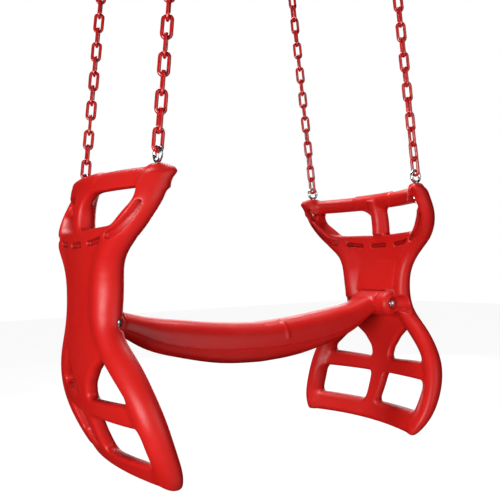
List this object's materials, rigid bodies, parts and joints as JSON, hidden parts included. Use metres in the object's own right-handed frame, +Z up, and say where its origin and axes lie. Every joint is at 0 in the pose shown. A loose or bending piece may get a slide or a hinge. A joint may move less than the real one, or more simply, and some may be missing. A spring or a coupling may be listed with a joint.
{
  "type": "glider swing",
  "caption": "Two-rider glider swing: two moulded end panels with handholds and foot openings, joined by a long seat beam and hung on chains.",
  "frame": {"origin": "midway between the four hooks, at the height where their upper bows bear on the hangers above", "axes": "+Z up, +X along the seat beam from the left end panel to the right one, +Y across the seat"},
  "size_m": [0.794, 0.432, 1.1949],
  "materials": {
    "panel_plastic": "blow-moulded polyethylene with a fine satin grain",
    "seat_plastic": "blow-moulded polyethylene, slightly polished on top",
    "chain_coating": "dipped soft vinyl coating, glossy, uneven",
    "zinc_steel": "bright zinc plate",
    "hook_steel": "bright zinc plate, lightly worn where it bears"
  },
  "bodies": {
    "hangers": {"hook_a": "hook_steel", "hook_b": "hook_steel", "hook_c": "hook_steel", "hook_d": "hook_steel"},
    "gate_a": {"hook_a_gate": "hook_steel", "hook_a_gate_pin": "hook_steel"},
    "chain_a_top": {"chain_a_top_link": "chain_coating"},
    "chain_a_middle": {"chain_a_run": "chain_coating"},
    "chain_a_bottom": {"chain_a_bottom_link": "chain_coating"},
    "gate_b": {"hook_b_gate": "hook_steel", "hook_b_gate_pin": "hook_steel"},
    "chain_b_top": {"chain_b_top_link": "chain_coating"},
    "chain_b_middle": {"chain_b_run": "chain_coating"},
    "chain_b_bottom": {"chain_b_bottom_link": "chain_coating"},
    "gate_c": {"hook_c_gate": "hook_steel", "hook_c_gate_pin": "hook_steel"},
    "chain_c_top": {"chain_c_top_link": "chain_coating"},
    "chain_c_middle": {"chain_c_run": "chain_coating"},
    "chain_c_bottom": {"chain_c_bottom_link": "chain_coating"},
    "gate_d": {"hook_d_gate": "hook_steel", "hook_d_gate_pin": "hook_steel"},
    "chain_d_top": {"chain_d_top_link": "chain_coating"},
    "chain_d_middle": {"chain_d_run": "chain_coating"},
    "chain_d_bottom": {"chain_d_bottom_link": "chain_coating"},
    "glider": {"eyebolt_a": "zinc_steel", "eyebolt_a_nut": "zinc_steel", "eyebolt_a_washer": "zinc_steel", "eyebolt_b": "zinc_steel", "eyebolt_b_nut": "zinc_steel", "eyebolt_b_washer": "zinc_steel", "eyebolt_c": "zinc_steel", "eyebolt_c_nut": "zinc_steel", "eyebolt_c_washer": "zinc_steel", "eyebolt_d": "zinc_steel", "eyebolt_d_nut": "zinc_steel", "eyebolt_d_washer": "zinc_steel", "left_end_panel": "panel_plastic", "right_end_panel": "panel_plastic", "seat_beam": "seat_plastic", "seat_bolt_left": "zinc_steel", "seat_bolt_left_nut": "zinc_steel", "seat_bolt_left_washer": "zinc_steel", "seat_bolt_right": "zinc_steel", "seat_bolt_right_nut": "zinc_steel", "seat_bolt_right_washer": "zinc_steel"}
  },
  "joints": [
    {"name": "a_swing", "type": "hinge", "parent": "hangers", "child": "chain_a_top", "pos_m": [-0.25558, -0.181, -0.0585], "axis": [0, 1, 0], "range_deg": [-20, 20]},
    {"name": "a_sway", "type": "hinge", "parent": "chain_a_top", "child": "chain_a_middle", "pos_m": [-0.25899, -0.181, -0.09102], "axis": [1, 0, 0], "range_deg": [-8, 8]},
    {"name": "a_level", "type": "hinge", "parent": "chain_a_middle", "child": "chain_a_bottom", "pos_m": [-0.30958, -0.181, -0.57287], "axis": [1, 0, 0], "range_deg": [-8, 8]},
    {"name": "b_swing", "type": "hinge", "parent": "hangers", "child": "chain_b_top", "pos_m": [-0.25558, 0.181, -0.0585], "axis": [0, 1, 0], "range_deg": [-20, 20]},
    {"name": "b_sway", "type": "hinge", "parent": "chain_b_top", "child": "chain_b_middle", "pos_m": [-0.25899, 0.181, -0.09102], "axis": [1, 0, 0], "range_deg": [-8, 8]},
    {"name": "b_level", "type": "hinge", "parent": "chain_b_middle", "child": "chain_b_bottom", "pos_m": [-0.30958, 0.181, -0.57287], "axis": [1, 0, 0], "range_deg": [-8, 8]},
    {"name": "c_swing", "type": "hinge", "parent": "hangers", "child": "chain_c_top", "pos_m": [0.25478, -0.181, -0.05094], "axis": [0, 1, 0], "range_deg": [-20, 20]},
    {"name": "c_sway", "type": "hinge", "parent": "chain_c_top", "child": "chain_c_middle", "pos_m": [0.25822, -0.181, -0.08371], "axis": [1, 0, 0], "range_deg": [-8, 8]},
    {"name": "c_level", "type": "hinge", "parent": "chain_c_middle", "child": "chain_c_bottom", "pos_m": [0.3106, -0.181, -0.58257], "axis": [1, 0, 0], "range_deg": [-8, 8]},
    {"name": "d_swing", "type": "hinge", "parent": "hangers", "child": "chain_d_top", "pos_m": [0.25478, 0.181, -0.05094], "axis": [0, 1, 0], "range_deg": [-20, 20]},
    {"name": "d_sway", "type": "hinge", "parent": "chain_d_top", "child": "chain_d_middle", "pos_m": [0.25822, 0.181, -0.08371], "axis": [1, 0, 0], "range_deg": [-8, 8]},
    {"name": "d_level", "type": "hinge", "parent": "chain_d_middle", "child": "chain_d_bottom", "pos_m": [0.3106, 0.181, -0.58257], "axis": [1, 0, 0], "range_deg": [-8, 8]},
    {"name": "glider_tilt", "type": "hinge", "parent": "chain_a_bottom", "child": "glider", "pos_m": [-0.313, -0.181, -0.60539], "axis": [0, 1, 0], "range_deg": [-20, 20]},
    {"name": "gate_a", "type": "hinge", "parent": "hangers", "child": "gate_a", "pos_m": [-0.25558, -0.19117, -0.04187], "axis": [-1, 0, 0], "range_deg": [0, 20], "stiffness_Nm_per_rad": 0.02, "springref_deg": -17.19},
    {"name": "gate_b", "type": "hinge", "parent": "hangers", "child": "gate_b", "pos_m": [-0.25558, 0.19117, -0.04187], "axis": [1, 0, 0], "range_deg": [0, 20], "stiffness_Nm_per_rad": 0.02, "springref_deg": -17.19},
    {"name": "gate_c", "type": "hinge", "parent": "hangers", "child": "gate_c", "pos_m": [0.24541, -0.181, -0.04187], "axis": [0, 1, 0], "range_deg": [0, 20], "stiffness_Nm_per_rad": 0.02, "springref_deg": -17.19},
    {"name": "gate_d", "type": "hinge", "parent": "hangers", "child": "gate_d", "pos_m": [0.24541, 0.181, -0.04187], "axis": [0, 1, 0], "range_deg": [0, 20], "stiffness_Nm_per_rad": 0.02, "springref_deg": -17.19}
  ],
  "couplings": [
    {"joint": "a_level", "follows": "a_sway", "ratio": -1},
    {"joint": "b_swing", "follows": "a_swing", "ratio": 1},
    {"joint": "b_sway", "follows": "a_sway", "ratio": 1},
    {"joint": "b_level", "follows": "a_sway", "ratio": -1},
    {"joint": "c_swing", "follows": "a_swing", "ratio": 0.971},
    {"joint": "c_sway", "follows": "a_sway", "ratio": 0.9659},
    {"joint": "c_level", "follows": "a_sway", "ratio": -0.9659},
    {"joint": "d_swing", "follows": "a_swing", "ratio": 0.971},
    {"joint": "d_sway", "follows": "a_sway", "ratio": 0.9659},
    {"joint": "d_level", "follows": "a_sway", "ratio": -0.9659},
    {"joint": "glider_tilt", "follows": "a_swing", "ratio": -0.8175}
  ]
}
